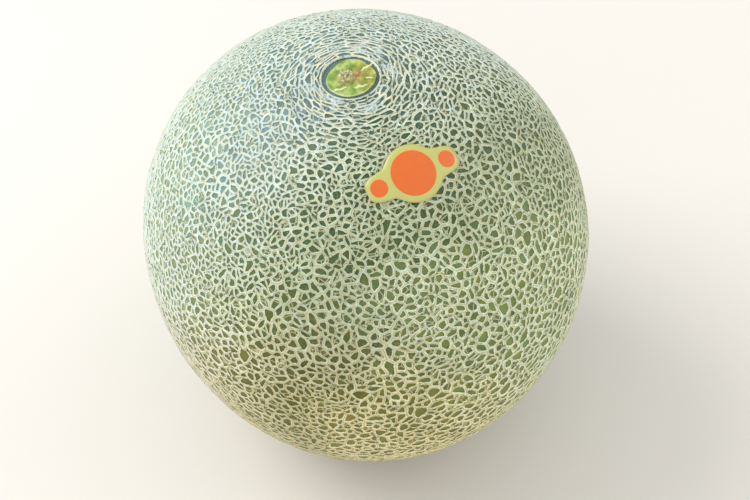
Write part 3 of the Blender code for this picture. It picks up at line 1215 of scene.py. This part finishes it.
def rind_material():
    """Smooth skin with a dull corky net over it, and the stem scar."""
    paint = RindPaint()
    colour = paint.mix(paint.cover, paint.skin(), paint.net())
    colour = paint.mix(paint.smears(), colour, SMEAR_COLOUR)
    # Painted warm bounce light over skin and net low in front
    colour = paint.with_scar(paint.tint(paint.low, colour, PAINTED_WARM_BOUNCE))
    return paint.finish(colour, paint.step(paint.cover, *DULL_STEP), paint.relief(), RIND_BUMP)


def round_mark(paint, along, across, radius):
    """How far inside a round mark a point is, from its distances along and across to the mark's middle."""
    squares = paint.sum(paint.product(along, along), paint.product(across, across))
    return paint.sum(radius, paint.maths("SQRT", squares), -1.0)


def sticker_material():
    """Coated yellow-green paper with a plain orange spot and two dots, faintly cloudy and grained."""
    paint = Paint("sticker_paper", Specular_IOR_Level=0.5, Coat_Weight=0.15, Coat_Roughness=0.25)
    along, across = paint.maths("ABSOLUTE", paint.attribute("along")), paint.attribute("across")
    spot = round_mark(paint, along, across, SPOT_RADIUS)
    dot = round_mark(paint, paint.sum(along, -DOT_PLACE), across, DOT_RADIUS)
    inked = paint.maths("MAXIMUM", spot, dot)
    colour = paint.mix(paint.step(inked, -PRINT_EDGE, PRINT_EDGE), SHEET_COLOUR, PRINT_COLOUR)
    cloud, fibre = paint.noise(CLOUD_GRAIN), paint.noise(FIBRE_GRAIN, 3)
    colour = paint.tint(paint.step(cloud, *CLOUD_STEP), colour, PAPER_SHADE)
    colour = paint.tint(paint.step(fibre, *FIBRE_STEP), colour, PAPER_SHADE)
    dull = paint.step(cloud, *PAPER_DULL_STEP)
    return paint.finish(colour, dull, paint.sum(fibre, cloud, CLOUD_BUMP), PAPER_BUMP)


def make_floor():
    corners = [(x * FLOOR_HALF, y * FLOOR_HALF, 0) for x, y in ((-1, -1), (1, -1), (1, 1), (-1, 1))]
    mesh = bpy.data.meshes.new("floor")
    mesh.from_pydata(corners, [], [(0, 1, 2, 3)])
    card = Paint("floor_card", Base_Color=FLOOR_COLOUR, Roughness=FLOOR_ROUGHNESS)
    floor = add_object("floor", mesh, card.material)


def add_light(name, place, size, power, shade):
    """A square soft light that faces the fruit."""
    lamp = bpy.data.lights.new(name, "AREA")
    lamp.size = size
    lamp.energy = power
    lamp.color = shade
    light = bpy.data.objects.new(name, lamp)
    light.location = place
    light.rotation_euler = (Vector(place) - CENTRE).to_track_quat("Z", "Y").to_euler()
    bpy.context.scene.collection.objects.link(light)


def make_lights():
    world = bpy.data.worlds.new("pale_room")
    world.use_nodes = True
    background = world.node_tree.nodes["Background"]
    background.inputs["Color"].default_value = (*WORLD_COLOUR, 1)
    background.inputs["Strength"].default_value = WORLD_STRENGTH
    bpy.context.scene.world = world
    bpy.context.scene.view_settings.view_transform = "Standard"
    for light in LIGHTS:
        add_light(*light)


def make_camera():
    """Looks down on the fruit from the front, rolled a little."""
    up = Vector((0, math.sin(CAMERA_ELEVATION), math.cos(CAMERA_ELEVATION)))
    back = Vector((0, -math.cos(CAMERA_ELEVATION), math.sin(CAMERA_ELEVATION)))
    right = Vector((1, 0, 0))
    right, up = (
        right * math.cos(CAMERA_ROLL) + up * math.sin(CAMERA_ROLL),
        up * math.cos(CAMERA_ROLL) - right * math.sin(CAMERA_ROLL),
    )
    place = CENTRE + back * CAMERA_DISTANCE
    aim = CENTRE + right * AIM_RIGHT - up * AIM_DOWN
    back = (place - aim).normalized()
    right = up.cross(back).normalized()
    up = back.cross(right)
    camera = bpy.data.objects.new("camera", bpy.data.cameras.new("camera"))
    camera.data.lens = CAMERA_LENS
    camera.matrix_world = Matrix.Translation(place) @ Matrix((right, up, back)).transposed().to_4x4()
    bpy.context.scene.collection.objects.link(camera)
    bpy.context.scene.camera = camera


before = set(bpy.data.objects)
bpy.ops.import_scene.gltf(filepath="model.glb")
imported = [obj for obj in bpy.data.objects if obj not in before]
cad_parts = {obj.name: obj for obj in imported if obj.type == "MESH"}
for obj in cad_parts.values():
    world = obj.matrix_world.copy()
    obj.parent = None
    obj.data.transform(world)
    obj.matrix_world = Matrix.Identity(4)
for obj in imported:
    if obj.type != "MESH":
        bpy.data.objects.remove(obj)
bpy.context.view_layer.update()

make_camera()
make_lights()
make_floor()

rind = make_rind(rind_material())
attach(rind, "root")
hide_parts("melon")

sticker = make_sticker(sticker_material())
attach(sticker, "root")
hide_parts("sticker")
